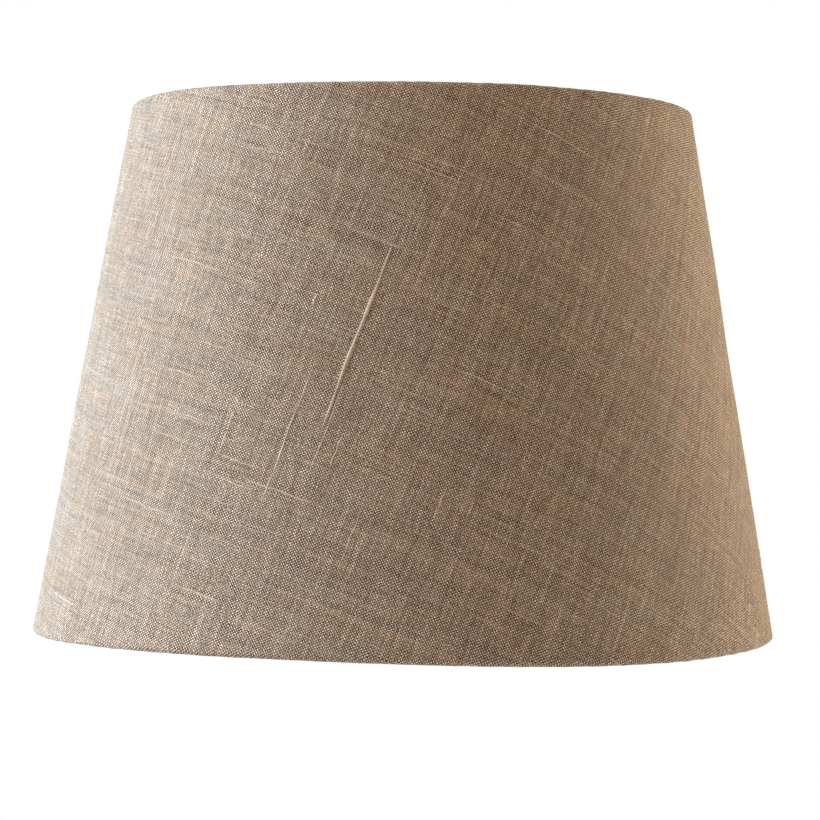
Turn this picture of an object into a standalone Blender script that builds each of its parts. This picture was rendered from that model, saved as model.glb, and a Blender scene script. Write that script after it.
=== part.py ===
"""Tapered lamp shade: linen laminated on a styrene liner, turned in over two wire rings.

A three-arm wire spider rises from the bottom ring to a steel hoop, and a ring fitter for an E27
lamp holder hangs in the hoop on two riveted pivots, so the whole shade tilts on the lamp.
Metres, +Z up the shade's axis. The origin is the centre of the plane that the bottom hem stands
on. The pivots lie along Y, and the shade is stored square to its fitter.
"""

import math

import bmesh
import bpy
from mathutils import Matrix, Vector

# Overall size, measured outside the cloth.
BOTTOM_DIAMETER = 0.380
TOP_DIAMETER = 0.289
HEIGHT = 0.269

# Stock that the shade is made from.
CLOTH = 0.0006
LINER = 0.0004
RING_WIRE = 0.0030
ARM_WIRE = 0.0028
GAP = 0.0003  # free space between pieces that touch on the real shade

# Cloth turned in over each ring.
HEM_DEPTH = 0.0120  # from the ring's centre to the raw edge inside
HEM_LIFT_OFF = 0.0042  # where the turned cloth comes to lie on the liner
NOTCH_SIDE_ROOM = 0.0012  # slit in the hem, on each side of an arm

# Spider.
ARM_COUNT = 3
SPIDER_RISE = 0.060  # tilt pivots above the hem plane
ARM_STUB = 0.009  # level run of an arm where it leaves a ring
ARM_BEND_RADIUS = 0.010

# Ring fitter, stamped from sheet, with two ears that are bent up.
HOLDER_HOLE = 0.0420
FITTER_WIDTH = 0.0090
FITTER_SHEET = 0.0012
FITTER_DROP = 0.0080  # sheet's top face below the pivots
LAND_MARGIN = 0.0003  # inner land's edge outside the reducer's flange
LAND_STEP = 0.0004  # the inner land, pressed down below the outer seat
EAR_SETBACK = 0.0010  # ear's inner face outside the ring's edge
EAR_WIDTH = 0.0110
EAR_BEND_RADIUS = 0.0008

# Hoop and pivots.
HOOP_BAND = 0.0015
HOOP_HEIGHT = 0.0100
HOOP_CHAMFER = 0.0003
WASHER_DIAMETER = 0.0100
WASHER_THICKNESS = 0.0008
WASHER_CHAMFER = 0.00015
RIVET_SHANK = 0.0040
RIVET_HEAD = 0.0070
RIVET_HEAD_HEIGHT = 0.0014
RIVET_HEAD_EDGE = 0.0004  # straight side under the domed head
RIVET_TAIL_BEVEL = 0.0007  # round the end that is struck flat inside the ear

# Plastic ring that narrows the fitter for an E14 lamp holder.
REDUCER_HOLE = 0.0285
REDUCER_FLANGE_OVERLAP = 0.0028
REDUCER_FLANGE = 0.0016
REDUCER_PLUG_DEPTH = 0.0040
REDUCER_CHAMFER = 0.0004

# Facets.
ROUND_STEPS = 60  # whole-shade rings
FITTER_STEPS = 48  # fitter, hoop and reducer; a multiple of 4
PIVOT_STEPS = 16  # rivets, washers and their holes
WIRE_SIDES = 8
BEND_STEPS = 5  # along an arm's bend
DOME_STEPS = 3  # from the top of a rivet's head to its side
WRAP_STEPS = 6
WRAP_TURN = math.radians(240)

# Worked out from the sizes above. A ring's wrap is the cloth's outer face round the wire's centre.
WRAP = RING_WIRE / 2 + GAP + CLOTH
BOTTOM_RING = Vector((BOTTOM_DIAMETER / 2 - WRAP, WRAP))
TOP_RING = Vector((TOP_DIAMETER / 2 - WRAP, HEIGHT - WRAP))
WALL_LENGTH = (TOP_RING - BOTTOM_RING).length
WALL_UP = (TOP_RING - BOTTOM_RING) / WALL_LENGTH
WALL_OUT = Vector((WALL_UP.y, -WALL_UP.x))
PIVOT_HOLE = RIVET_SHANK + 2 * GAP
FITTER_TOP = SPIDER_RISE - FITTER_DROP
FITTER_RADIUS = HOLDER_HOLE / 2 + FITTER_WIDTH
EAR_INSIDE = FITTER_RADIUS + EAR_SETBACK
EAR_OUTSIDE = EAR_INSIDE + FITTER_SHEET
WASHER_INSIDE = EAR_OUTSIDE + GAP
WASHER_OUTSIDE = WASHER_INSIDE + WASHER_THICKNESS
HOOP_INSIDE = math.hypot(WASHER_OUTSIDE + GAP, WASHER_DIAMETER / 2)
HOOP_OUTSIDE = HOOP_INSIDE + HOOP_BAND
ARM_ANGLES = [math.tau * i / ARM_COUNT for i in range(ARM_COUNT)]


def material(name, color, roughness, metallic=0.0):
    mat = bpy.data.materials.new(name)
    mat.use_nodes = True
    shader = mat.node_tree.nodes["Principled BSDF"]
    shader.inputs["Base Color"].default_value = (*color, 1.0)
    shader.inputs["Roughness"].default_value = roughness
    shader.inputs["Metallic"].default_value = metallic
    return mat


def add_object(name, data, collection, mat=None):
    obj = bpy.data.objects.new(name, data)
    collection.objects.link(obj)
    if mat:
        data.materials.append(mat)
    return obj


def move_to(obj, collection):
    for other in obj.users_collection:
        other.objects.unlink(obj)
    collection.objects.link(obj)


def as_cutter(obj, name, collection):
    obj.name = name
    move_to(obj, collection)
    obj.hide_render = True
    obj.display_type = "WIRE"


def cut(obj, cutter):
    boolean = obj.modifiers.new("Cut " + cutter.name, "BOOLEAN")
    boolean.operation = "DIFFERENCE"
    boolean.solver = "EXACT"
    boolean.object = cutter


def turned(name, profile, collection, mat, steps, closed=True):
    """A piece turned round Z from a profile of (radius, height), outer side top to bottom.

    An open profile starts and ends on the axis.
    """
    mesh = bpy.data.meshes.new(name)
    edges = [(i, i + 1) for i in range(len(profile) - 1)]
    if closed:
        edges.append((len(profile) - 1, 0))
    mesh.from_pydata([(r, 0, z) for r, z in profile], edges, [])
    obj = add_object(name, mesh, collection, mat)
    screw = obj.modifiers.new("Turn", "SCREW")
    screw.axis = "Z"
    screw.angle = math.tau
    screw.steps = screw.render_steps = steps
    screw.use_merge_vertices = True
    screw.merge_threshold = 0.00005
    screw.use_smooth_shade = True
    return obj


def rectangle(inside, outside, low, high, chamfer):
    """A ring's section with its four corners chamfered, running down its outer side."""
    return [
        (outside - chamfer, high),
        (outside, high - chamfer),
        (outside, low + chamfer),
        (outside - chamfer, low),
        (inside + chamfer, low),
        (inside, low + chamfer),
        (inside, high - chamfer),
        (inside + chamfer, high),
    ]


def hem_path(ring, up):
    """Middle line of the cloth round one ring, from the raw edge inside to the outer wall.

    up points from the ring along the wall towards the shade's middle.
    """
    middle = WRAP - CLOTH / 2
    on_liner = RING_WIRE / 2 - LINER - GAP - CLOTH / 2
    tip = on_liner * WALL_OUT + HEM_DEPTH * up
    landing = on_liner * WALL_OUT + HEM_LIFT_OFF * up
    wrap = []
    for i in range(WRAP_STEPS, -1, -1):
        turn = WRAP_TURN * i / WRAP_STEPS
        wrap.append(middle * (math.cos(turn) * WALL_OUT - math.sin(turn) * up))
    leave = math.cos(WRAP_TURN - math.tau / 4) * WALL_OUT - math.sin(WRAP_TURN - math.tau / 4) * up
    handle = (landing - wrap[0]).length / 3
    bend = [landing, landing - handle * up, wrap[0] - handle * leave, wrap[0]]
    swing = [bezier(bend, t) for t in (0.0, 0.5)]
    return [ring + point for point in [tip, *swing, *wrap]]


def bezier(points, t):
    a, b, c, d = points
    s = 1 - t
    return s**3 * a + 3 * s * s * t * b + 3 * s * t * t * c + t**3 * d


def offset(path, distance):
    """The path moved sideways, to the left of its direction."""
    moved = []
    for i, point in enumerate(path):
        before, after = path[max(i - 1, 0)], path[min(i + 1, len(path) - 1)]
        along = (after - before).normalized()
        moved.append(point + distance * Vector((-along.y, along.x)))
    return moved


def cover_profile():
    """Section of the cloth: top hem, over the top ring, down the wall, round the bottom ring."""
    path = hem_path(TOP_RING, -WALL_UP) + hem_path(BOTTOM_RING, WALL_UP)[::-1]
    outer = offset(path, CLOTH / 2)
    inner = offset(path, -CLOTH / 2)
    return [tuple(point) for point in outer + inner[::-1]]


def liner_profile():
    """Section of the stiff liner, which ends against each ring behind the cloth."""
    end = RING_WIRE / 2 + GAP
    outside = RING_WIRE / 2
    inside = outside - LINER
    corners = [
        TOP_RING + outside * WALL_OUT - end * WALL_UP,
        BOTTOM_RING + outside * WALL_OUT + end * WALL_UP,
        BOTTOM_RING + inside * WALL_OUT + end * WALL_UP,
        TOP_RING + inside * WALL_OUT - end * WALL_UP,
    ]
    return [tuple(point) for point in corners]


def wire_ring(name, ring, collection, mat):
    bpy.ops.mesh.primitive_torus_add(
        major_radius=ring.x,
        minor_radius=RING_WIRE / 2,
        major_segments=ROUND_STEPS,
        minor_segments=WIRE_SIDES,
        location=(0, 0, ring.y),
    )
    obj = bpy.context.object
    obj.name = obj.data.name = name
    move_to(obj, collection)
    obj.data.materials.append(mat)
    obj.data.shade_smooth()
    return obj


def notch_cutter(name, angle, collection):
    """A box that slits the bottom hem where an arm comes through it."""
    width = ARM_WIRE + 2 * NOTCH_SIDE_ROOM
    low = -(ARM_WIRE / 2 + GAP)
    high = HEM_DEPTH + WRAP
    inward = -2 * WRAP
    outward = RING_WIRE / 2 - LINER
    bpy.ops.mesh.primitive_cube_add(size=1)
    obj = bpy.context.object
    obj.data.transform(Matrix.Diagonal((outward - inward, width, high - low, 1)))
    center = BOTTOM_RING + (outward + inward) / 2 * WALL_OUT + (high + low) / 2 * WALL_UP
    lean = Matrix.Rotation(-math.atan2(WALL_OUT.y, WALL_OUT.x), 4, "Y")
    obj.matrix_world = (
        Matrix.Rotation(angle, 4, "Z") @ Matrix.Translation((center.x, 0, center.y)) @ lean
    )
    as_cutter(obj, name, collection)
    return obj


def rounded_bends(corners, radius, steps):
    """A polyline with each inner corner replaced by an arc of the given radius."""
    points = [corners[0]]
    for before, corner, after in zip(corners, corners[1:], corners[2:], strict=False):
        back = (before - corner).normalized()
        ahead = (after - corner).normalized()
        half = back.angle(ahead) / 2
        reach = radius / math.tan(half)
        start, end = corner + reach * back, corner + reach * ahead
        center = corner + radius / math.sin(half) * (back + ahead).normalized()
        sweep = math.pi - 2 * half
        for i in range(steps + 1):
            turn = sweep * i / steps
            from_start = math.sin(sweep - turn) / math.sin(sweep) * (start - center)
            from_end = math.sin(turn) / math.sin(sweep) * (end - center)
            points.append(center + from_start + from_end)
    points.append(corners[-1])
    return points


def spider_arm(name, angle, collection, mat):
    """A bent wire from the bottom ring's inner side up to the hoop's outer face."""
    low, high = BOTTOM_RING.y, SPIDER_RISE
    ring_end = BOTTOM_RING.x - RING_WIRE / 2 - GAP
    hoop_end = HOOP_OUTSIDE + GAP
    corners = [
        Vector((ring_end, 0, low)),
        Vector((ring_end - ARM_STUB, 0, low)),
        Vector((hoop_end + ARM_STUB, 0, high)),
        Vector((hoop_end, 0, high)),
    ]
    points = rounded_bends(corners, ARM_BEND_RADIUS, BEND_STEPS)
    curve = bpy.data.curves.new(name, "CURVE")
    curve.dimensions = "3D"
    curve.bevel_depth = ARM_WIRE / 2
    curve.bevel_resolution = 2
    curve.use_fill_caps = True
    spline = curve.splines.new("POLY")
    spline.points.add(len(points) - 1)
    for target, point in zip(spline.points, points, strict=True):
        target.co = (*point, 1)
    obj = add_object(name, curve, collection, mat)
    obj.rotation_euler.z = angle
    return obj


def pivot_hole_cutter(collection):
    """One rod along Y that bores both ears and reaches past both sides of the hoop."""
    bpy.ops.mesh.primitive_cylinder_add(
        vertices=PIVOT_STEPS,
        radius=PIVOT_HOLE / 2,
        depth=2 * HOOP_OUTSIDE + 2 * PIVOT_HOLE,
        location=(0, 0, SPIDER_RISE),
        rotation=(math.tau / 4, 0, 0),
    )
    obj = bpy.context.object
    as_cutter(obj, "pivot_holes", collection)
    return obj


def ear_rows():
    """Rows of an ear from the ring's edge to its round tip: (distance out, height, half width)."""
    rows = []
    for i in range(1, 4):
        turn = math.tau / 4 * i / 3
        out = EAR_INSIDE - EAR_BEND_RADIUS * (1 - math.sin(turn))
        rows.append((out, EAR_BEND_RADIUS * (1 - math.cos(turn)), EAR_WIDTH / 2))
    for degrees in (0, 25, 50, 70, 84):
        turn = math.radians(degrees)
        height = FITTER_DROP + EAR_WIDTH / 2 * math.sin(turn)
        rows.append((EAR_INSIDE, height, EAR_WIDTH / 2 * math.cos(turn)))
    return rows


def fitter_ring(collection, mat, pivot_holes):
    """Stamped ring with two ears, drawn as its top face and thickened downwards and outwards."""
    steps = FITTER_STEPS
    sheet = bmesh.new()
    rims = []
    land_edge = HOLDER_HOLE / 2 + REDUCER_FLANGE_OVERLAP + LAND_MARGIN
    section = [
        (HOLDER_HOLE / 2, -LAND_STEP),
        (land_edge, -LAND_STEP),
        (land_edge + LAND_STEP, 0),
        (FITTER_RADIUS, 0),
    ]
    for radius, height in section:
        ring = []
        for i in range(steps):
            turn = math.tau * i / steps
            x, y = radius * math.cos(turn), radius * math.sin(turn)
            ring.append(sheet.verts.new((x, y, height)))
        rims.append(ring)
    for inner, outer in zip(rims, rims[1:], strict=False):
        for i in range(steps):
            j = (i + 1) % steps
            sheet.faces.new((inner[i], outer[i], outer[j], inner[j]))
    reach = max(1, round(math.asin(EAR_WIDTH / 2 / FITTER_RADIUS) / (math.tau / steps)))
    for side, middle in ((1, steps // 4), (-1, 3 * steps // 4)):
        row = [rims[-1][(middle - side * k) % steps] for k in range(-reach, reach + 1)]
        for out, height, half_width in ear_rows():
            new = []
            for k in range(len(row)):
                x = half_width * (k - reach) / reach
                new.append(sheet.verts.new((x, side * out, height)))
            for k in range(len(row) - 1):
                face = (row[k], new[k], new[k + 1], row[k + 1])
                sheet.faces.new(face if side < 0 else face[::-1])
            row = new
    mesh = bpy.data.meshes.new("fitter_ring")
    sheet.to_mesh(mesh)
    sheet.free()
    obj = add_object("fitter_ring", mesh, collection, mat)
    obj.location.z = FITTER_TOP
    thick = obj.modifiers.new("Sheet", "SOLIDIFY")
    thick.thickness = FITTER_SHEET
    thick.offset = -1
    thick.use_even_offset = True
    cut(obj, pivot_holes)
    return obj


def across_pivot(obj, side):
    """Turn a piece made round Z to lie on the pivot axis, with its +Z pointing out of the hoop."""
    obj.location = (0, 0, SPIDER_RISE)
    obj.rotation_euler = (-side * math.tau / 4, 0, 0)


def pivot_rivet(name, side, collection, mat):
    shank, head = RIVET_SHANK / 2, RIVET_HEAD / 2
    seat_out = HOOP_OUTSIDE + GAP
    seat_in = EAR_INSIDE - GAP
    tail = seat_in - RIVET_HEAD_HEIGHT
    dome = RIVET_HEAD_HEIGHT - RIVET_HEAD_EDGE
    profile = []
    for i in range(DOME_STEPS + 1):
        turn = math.tau / 4 * i / DOME_STEPS
        height = seat_out + RIVET_HEAD_EDGE + dome * math.cos(turn)
        profile.append((head * math.sin(turn), height))
    profile += [
        (head, seat_out),
        (shank, seat_out),
        (shank, seat_in),
        (head, seat_in),
        (head, tail + RIVET_TAIL_BEVEL),
        (head - RIVET_TAIL_BEVEL, tail),
        (0, tail),
    ]
    obj = turned(name, profile, collection, mat, PIVOT_STEPS, closed=False)
    across_pivot(obj, side)
    return obj


def friction_washer(name, side, collection, mat):
    section = rectangle(
        PIVOT_HOLE / 2, WASHER_DIAMETER / 2, WASHER_INSIDE, WASHER_OUTSIDE, WASHER_CHAMFER
    )
    obj = turned(name, section, collection, mat, PIVOT_STEPS)
    across_pivot(obj, side)
    return obj


def reducer_ring(collection, mat):
    """Turned plastic ring: a flange on the fitter and a plug down through its hole."""
    bore = REDUCER_HOLE / 2
    plug = HOLDER_HOLE / 2 - GAP
    flange = HOLDER_HOLE / 2 + REDUCER_FLANGE_OVERLAP
    seat = GAP
    top = seat + REDUCER_FLANGE
    chamfer = REDUCER_CHAMFER
    profile = [
        (flange - chamfer, top),
        (flange, top - chamfer),
        (flange, seat),
        (plug, seat),
        (plug, chamfer - REDUCER_PLUG_DEPTH),
        (plug - chamfer, -REDUCER_PLUG_DEPTH),
        (bore + chamfer, -REDUCER_PLUG_DEPTH),
        (bore, chamfer - REDUCER_PLUG_DEPTH),
        (bore, top - chamfer),
        (bore + chamfer, top),
    ]
    obj = turned("reducer_ring", profile, collection, mat, FITTER_STEPS)
    obj.location.z = FITTER_TOP - LAND_STEP
    return obj


def build():
    for obj in list(bpy.data.objects):
        bpy.data.objects.remove(obj)
    parts = bpy.data.collections.new("lamp_shade")
    cutters = bpy.data.collections.new("cutters")
    for collection in (parts, cutters):
        bpy.context.scene.collection.children.link(collection)

    linen = material("linen", (0.40, 0.33, 0.26), 0.9)
    styrene = material("styrene", (0.85, 0.84, 0.80), 0.5)
    white_steel = material("white_steel", (0.80, 0.80, 0.78), 0.35)
    zinc_steel = material("zinc_steel", (0.62, 0.63, 0.65), 0.3, 1.0)
    white_plastic = material("white_plastic", (0.82, 0.82, 0.80), 0.45)
    fibre = material("fibre", (0.25, 0.10, 0.06), 0.8)

    pivot_holes = pivot_hole_cutter(cutters)
    cover = turned("linen_cover", cover_profile(), parts, linen, ROUND_STEPS)
    liner = turned("styrene_liner", liner_profile(), parts, styrene, ROUND_STEPS)
    shade = [cover, liner]
    shade.append(wire_ring("top_ring", TOP_RING, parts, white_steel))
    shade.append(wire_ring("bottom_ring", BOTTOM_RING, parts, white_steel))
    for number, angle in enumerate(ARM_ANGLES, 1):
        cut(cover, notch_cutter(f"notch_{number}", angle, cutters))
        shade.append(spider_arm(f"spider_arm_{number}", angle, parts, white_steel))
    half = HOOP_HEIGHT / 2
    band = rectangle(
        HOOP_INSIDE, HOOP_OUTSIDE, SPIDER_RISE - half, SPIDER_RISE + half, HOOP_CHAMFER
    )
    hoop = turned("gimbal_hoop", band, parts, white_steel, FITTER_STEPS)
    cut(hoop, pivot_holes)
    shade.append(hoop)

    tilt_axis = add_object("tilt_axis", None, parts)
    tilt_axis.location.z = SPIDER_RISE
    for obj in shade:
        obj.parent = tilt_axis
        obj.matrix_parent_inverse = Matrix.Translation((0, 0, -SPIDER_RISE))

    fitter_ring(parts, zinc_steel, pivot_holes)
    for number, side in ((1, -1), (2, 1)):
        pivot_rivet(f"pivot_rivet_{number}", side, parts, zinc_steel)
        friction_washer(f"friction_washer_{number}", side, parts, fibre)
    reducer_ring(parts, white_plastic)


build()
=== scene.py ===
"""Looks of the tapered linen lamp shade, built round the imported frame.

The cloth is one cut sheet: a sector of a ring that rolls up into the cone, laps at the back (+Y)
and turns in over both wires. Its weave runs straight in that flat cut, so every thread is placed
in the cut's own coordinates and the grain swings round the shade as it does on the real thing.
"""

import math
import random

import bmesh
import bpy
import numpy as np
from mathutils import Matrix, Vector


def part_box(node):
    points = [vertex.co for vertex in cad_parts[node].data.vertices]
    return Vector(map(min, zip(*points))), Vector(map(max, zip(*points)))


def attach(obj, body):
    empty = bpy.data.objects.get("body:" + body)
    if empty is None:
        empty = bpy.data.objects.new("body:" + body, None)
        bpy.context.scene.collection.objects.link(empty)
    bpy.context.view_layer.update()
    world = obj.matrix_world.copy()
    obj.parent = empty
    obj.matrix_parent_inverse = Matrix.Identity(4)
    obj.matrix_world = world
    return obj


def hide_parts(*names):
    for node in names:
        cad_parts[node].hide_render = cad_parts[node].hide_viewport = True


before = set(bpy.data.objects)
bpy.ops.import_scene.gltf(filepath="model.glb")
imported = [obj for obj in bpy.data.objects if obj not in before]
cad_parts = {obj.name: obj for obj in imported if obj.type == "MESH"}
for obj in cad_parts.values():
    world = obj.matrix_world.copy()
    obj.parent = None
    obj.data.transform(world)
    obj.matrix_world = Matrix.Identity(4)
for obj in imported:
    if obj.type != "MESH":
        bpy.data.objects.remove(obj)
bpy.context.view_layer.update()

# Sheet and wire stock, as in the CAD model.
CLOTH = 0.0006
LINER = 0.0004
RING_WIRE = 0.0030
ARM_WIRE = 0.0028
GAP = 0.0003
HEM_DEPTH = 0.0120
HEM_LIFT_OFF = 0.0042  # where the turned-in cloth leaves the liner for the wire
WRAP_TURN = math.radians(240)

# The weave, in the flat cut.
WARP_LEAN = math.radians(20)  # warp from the front generatrix, to the right at the top
WARP_PITCH = 0.00087
WEFT_PITCH = 0.00077
CUT_ORIGIN = 4.0  # keeps both coordinates of the cut positive

# The lapped seam at the back.
LAP = 0.0120
LAP_RAMP = 0.0060
LAP_FOLD = 0.0080  # width of the turned-under edge
LAP_AIR = 0.0001  # between the two layers
FOLD_EDGE = 0.0012  # over which the turned-under edge ends
FOLD_BULK = 0.9  # its height, in thicknesses of the cloth
EDGE_ROUND = 0.0006

SEED = 7


# ---------------------------------------------------------------- the cone, from the frame


def ring_center(node):
    """(radius, height) of a wire ring's centre line."""
    low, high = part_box(node)
    return np.array((high.x - RING_WIRE / 2, (low.z + high.z) / 2))


BOTTOM_RING = ring_center("bottom_ring")
TOP_RING = ring_center("top_ring")
WALL_LENGTH = float(np.linalg.norm(TOP_RING - BOTTOM_RING))
WALL_UP = (TOP_RING - BOTTOM_RING) / WALL_LENGTH
WALL_OUT = np.array((WALL_UP[1], -WALL_UP[0]))
SIN_CONE = -WALL_UP[0]
WRAP = RING_WIRE / 2 + GAP + CLOTH
SHADE_HEIGHT = TOP_RING[1] + WRAP
HALF_TURN = math.pi + LAP / 2 / BOTTOM_RING[0]  # from the front to either end of a sheet


def smooth(x):
    """0 below 0, 1 above 1 and an even S curve between."""
    x = np.clip(x, 0, 1)
    return x * x * (3 - 2 * x)


def swept(radius, height, angle):
    """Points at a radius and height, and at an angle from the front (-Y) towards +X."""
    return np.stack(
        np.broadcast_arrays(radius * np.sin(angle), -radius * np.cos(angle), height), -1
    )


def harmonics(angle, terms):
    """A sum of cosines round the shade, from (count, size, phase in degrees)."""
    return sum(size * np.cos(count * angle - math.radians(phase)) for count, size, phase in terms)


# How the made shade strays from a true cone: the set of its two rings and a soft wall.
BOTTOM_SET = [(3, 0.0011, 270), (2, 0.0004, 40), (5, 0.0002, 10)]
TOP_SET = [(2, 0.0005, 120), (3, 0.0003, 200), (5, 0.0002, 80)]
WALL_SWELL = [(4, 0.00016, 30), (7, 0.00012, 150), (11, 0.00008, 75)]
SWELL_TWIST = 2.2  # how far the swell drifts round from hem to top
STILL_RADIUS = 0.05
SETTLE_RUN = 0.08


def settle(points):
    """Moves points of the shade as its rings and wall have set.

    Within STILL_RADIUS the hub stays, and SETTLE_RUN further out the movement is whole.
    """
    points = np.array(points, float)
    x, y, z = points[..., 0], points[..., 1], points[..., 2]
    radius = np.hypot(x, y)
    angle = np.arctan2(x, -y)
    share = np.clip(z / SHADE_HEIGHT, 0, 1)
    out = smooth((radius - STILL_RADIUS) / SETTLE_RUN)
    lift = (1 - share) ** 2 * harmonics(angle, BOTTOM_SET)
    lift = lift + share**2 * harmonics(angle, TOP_SET)
    swell = np.sin(np.pi * share) * harmonics(angle + SWELL_TWIST * share, WALL_SWELL)
    factor = 1 + out * swell / np.maximum(radius, 0.01)
    moved = points.copy()
    moved[..., 0] = x * factor
    moved[..., 1] = y * factor
    moved[..., 2] = z + out * lift
    return moved


# ---------------------------------------------------------------- mesh helpers

TURN_STEPS = 192
CREASE = math.radians(40)
MERGE = 0.000002


def add_object(name, mesh, material):
    obj = bpy.data.objects.new(name, mesh)
    bpy.context.scene.collection.objects.link(obj)
    mesh.materials.append(material)
    return obj


def new_object(name, vertices, faces, material):
    mesh = bpy.data.meshes.new(name)
    mesh.from_pydata([tuple(v) for v in vertices], [], faces)
    mesh.validate()
    obj = add_object(name, mesh, material)
    mesh.shade_smooth()
    return obj


def closed_shell(name, outer, inner, material, uv=None):
    """A closed solid between two grids of points of the same size, (rows, columns, 3)."""
    rows, columns = outer.shape[:2]
    vertices = np.concatenate([outer.reshape(-1, 3), inner.reshape(-1, 3)])
    count = rows * columns
    index = np.arange(count).reshape(rows, columns)
    a, b = index[:-1, :-1].ravel(), index[:-1, 1:].ravel()
    c, d = index[1:, 1:].ravel(), index[1:, :-1].ravel()
    faces = [np.stack([a, d, c, b], 1), np.stack([a, b, c, d], 1) + count]
    for edge, flip in ((index[0], False), (index[-1], True)):
        faces.append(rim_faces(edge, count, flip))
    for edge, flip in ((index[:, 0], True), (index[:, -1], False)):
        faces.append(rim_faces(edge, count, flip))
    faces = np.concatenate(faces)
    mesh = bpy.data.meshes.new(name)
    mesh.vertices.add(len(vertices))
    mesh.vertices.foreach_set("co", vertices.astype(np.float32).ravel())
    mesh.loops.add(faces.size)
    mesh.loops.foreach_set("vertex_index", faces.astype(np.int32).ravel())
    mesh.polygons.add(len(faces))
    mesh.polygons.foreach_set("loop_start", np.arange(0, faces.size, 4, dtype=np.int32))
    mesh.update(calc_edges=True)
    if uv is not None:
        layer = mesh.uv_layers.new(name="grain")
        both = np.concatenate([uv.reshape(-1, 2), uv.reshape(-1, 2)])
        layer.data.foreach_set("uv", both[faces.ravel()].astype(np.float32).ravel())
    obj = add_object(name, mesh, material)
    mesh.shade_smooth()
    return obj


def rim_faces(edge, count, flip):
    """Quads that join one edge of the outer grid to the same edge of the inner grid."""
    first, second = edge[:-1], edge[1:]
    quads = np.stack([first, second, second + count, first + count], 1)
    return quads[:, ::-1] if flip else quads


def lathe(name, profile, material, steps=TURN_STEPS, center=(0, 0, 0), along=(0, 0, 1)):
    """A ring or a button turned from a closed profile of (radius, height), counter-clockwise."""
    turns = np.arange(steps) * math.tau / steps
    profile = np.array(profile)
    grid = np.empty((len(profile), steps, 3))
    grid[..., 0] = profile[:, :1] * np.cos(turns)
    grid[..., 1] = profile[:, :1] * np.sin(turns)
    grid[..., 2] = profile[:, 1:]
    index = np.arange(grid.shape[0] * steps).reshape(-1, steps)
    down, right = np.roll(index, -1, 0), np.roll(index, -1, 1)
    both = np.roll(down, -1, 1)
    quads = np.stack([index.ravel(), right.ravel(), both.ravel(), down.ravel()], 1)
    spin = Vector((0, 0, 1)).rotation_difference(Vector(along)).to_matrix().to_4x4()
    place = Matrix.Translation(center) @ spin
    obj = new_object(name, grid.reshape(-1, 3), quads.tolist(), material)
    tidy(obj)
    obj.data.transform(place)
    return obj


def tidy(obj):
    """Merges doubled points, drops what that flattens and points every face outwards."""
    work = bmesh.new()
    work.from_mesh(obj.data)
    bmesh.ops.remove_doubles(work, verts=work.verts, dist=MERGE)
    bmesh.ops.dissolve_degenerate(work, edges=work.edges, dist=MERGE)
    bmesh.ops.recalc_face_normals(work, faces=work.faces)
    work.to_mesh(obj.data)
    work.free()
    obj.data.shade_smooth()
    obj.data.set_sharp_from_angle(angle=CREASE)


def tube_points(path, radii, sides):
    """Rings of points round a path of points, and the quads and caps that close them."""
    path = np.array(path, float)
    along = np.gradient(path, axis=0)
    along /= np.linalg.norm(along, axis=1)[:, None]
    side = np.cross(along[0], (0.0, 0.0, 1.0))
    if np.linalg.norm(side) < 0.1:
        side = np.cross(along[0], (1.0, 0.0, 0.0))
    rings = []
    for point, ahead, radius in zip(path, along, radii, strict=True):
        side = side - ahead * (side @ ahead)
        side /= np.linalg.norm(side)
        up = np.cross(side, ahead)
        turn = np.arange(sides) * math.tau / sides
        rings.append(point + radius * (np.outer(np.cos(turn), side) + np.outer(np.sin(turn), up)))
    faces = []
    for i in range(len(path) - 1):
        for j in range(sides):
            k = (j + 1) % sides
            faces.append((i * sides + j, i * sides + k, (i + 1) * sides + k, (i + 1) * sides + j))
    last = (len(path) - 1) * sides
    faces.append(tuple(reversed(range(sides))))
    faces.append(tuple(range(last, last + sides)))
    return np.concatenate(rings), faces


def joined_tubes(name, tubes, material):
    """One piece made of many separate tubes."""
    vertices, faces, start = [], [], 0
    for points, sides in tubes:
        vertices.append(points)
        faces += [tuple(i + start for i in side) for side in sides]
        start += len(points)
    return new_object(name, np.concatenate(vertices), faces, material)


def apply_modifiers(obj):
    """Puts the mesh that the modifiers make in place of the one that they start from."""
    graph = bpy.context.evaluated_depsgraph_get()
    mesh = bpy.data.meshes.new_from_object(obj.evaluated_get(graph))
    obj.modifiers.clear()
    old, obj.data = obj.data, mesh
    name = old.name
    bpy.data.meshes.remove(old)
    mesh.name = name


# ---------------------------------------------------------------- materials


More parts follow.
